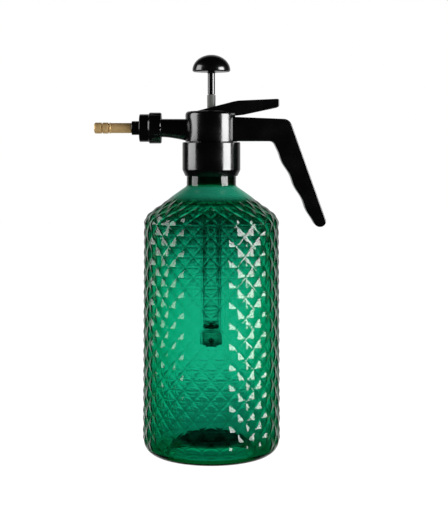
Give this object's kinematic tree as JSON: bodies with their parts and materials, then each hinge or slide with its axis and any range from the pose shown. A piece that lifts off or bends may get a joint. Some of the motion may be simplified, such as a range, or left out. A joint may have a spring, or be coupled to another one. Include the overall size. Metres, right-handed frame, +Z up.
{
  "type": "hand mister",
  "caption": "Pump-up hand mister: diamond-embossed green bottle, screw collar, plunger knob, thumb lever over a down-turned grip, and a brass spray nozzle.",
  "frame": {"origin": "on the bottle's axis, in the plane it stands on", "axes": "+Z up along the bottle's axis, -X along the spray, +X towards the grip"},
  "size_m": [0.1831, 0.1102, 0.3176],
  "materials": {
    "green_pet": "clear emerald, blown, glossy",
    "black_plastic": "moulded, glossy",
    "natural_plastic": "natural, translucent",
    "brass": "turned, slightly dulled",
    "steel": "bright wire",
    "rubber": "matt"
  },
  "bodies": {
    "bottle": {"bottle": "green_pet"},
    "head": {"head_housing": "black_plastic", "pump_seat": "black_plastic", "neck_gasket": "rubber", "pump_cylinder": "natural_plastic", "cylinder_cap": "black_plastic", "foot_valve_body": "black_plastic", "foot_valve_flap": "rubber", "dip_tube": "natural_plastic", "dip_tube_strainer": "black_plastic", "trigger_pin": "steel", "stem_o_ring": "rubber", "valve_spring": "steel", "nozzle_washer": "rubber", "nozzle_adapter": "black_plastic", "nozzle_core": "brass", "nozzle_o_ring": "rubber"},
    "collar": {"collar": "black_plastic"},
    "pump": {"pump_knob": "black_plastic", "pump_rod": "natural_plastic", "piston": "black_plastic", "piston_seal": "rubber"},
    "trigger": {"trigger_lever": "black_plastic"},
    "valve": {"valve_stem": "brass", "valve_seal": "rubber"},
    "nozzle_nut": {"nozzle_nut": "black_plastic"},
    "nozzle_sleeve": {"nozzle_sleeve": "brass"}
  },
  "joints": [
    {"name": "head_lift", "type": "slide", "parent": "bottle", "child": "head", "axis": [0, 0, 1], "range_m": [0, 0.23]},
    {"name": "collar_turn", "type": "hinge", "parent": "head", "child": "collar", "pos_m": [0, 0, 0.235], "axis": [0, 0, 1], "range_deg": [0, 540]},
    {"name": "pump_slide", "type": "slide", "parent": "head", "child": "pump", "axis": [0, 0, 1], "range_m": [0, 0.11]},
    {"name": "trigger_press", "type": "hinge", "parent": "head", "child": "trigger", "pos_m": [-0.0143, 0, 0.26933], "axis": [0, 1, 0], "range_deg": [0, 5], "stiffness_Nm_per_rad": 1, "springref_deg": -11.46},
    {"name": "valve_slide", "type": "slide", "parent": "head", "child": "valve", "axis": [0, 0, -1], "range_m": [0, 0.0026], "deforming": ["valve_spring"]},
    {"name": "nozzle_turn", "type": "hinge", "parent": "head", "child": "nozzle_sleeve", "pos_m": [-0.078, 0, 0.25973], "axis": [-1, 0, 0], "range_deg": [0, 720]},
    {"name": "nozzle_nut_turn", "type": "hinge", "parent": "head", "child": "nozzle_nut", "pos_m": [-0.048, 0, 0.25973], "axis": [-1, 0, 0], "range_deg": [0, 720]}
  ],
  "couplings": [
    {"joint": "valve_slide", "follows": "trigger_press", "m_per_rad": 0.0266}
  ]
}
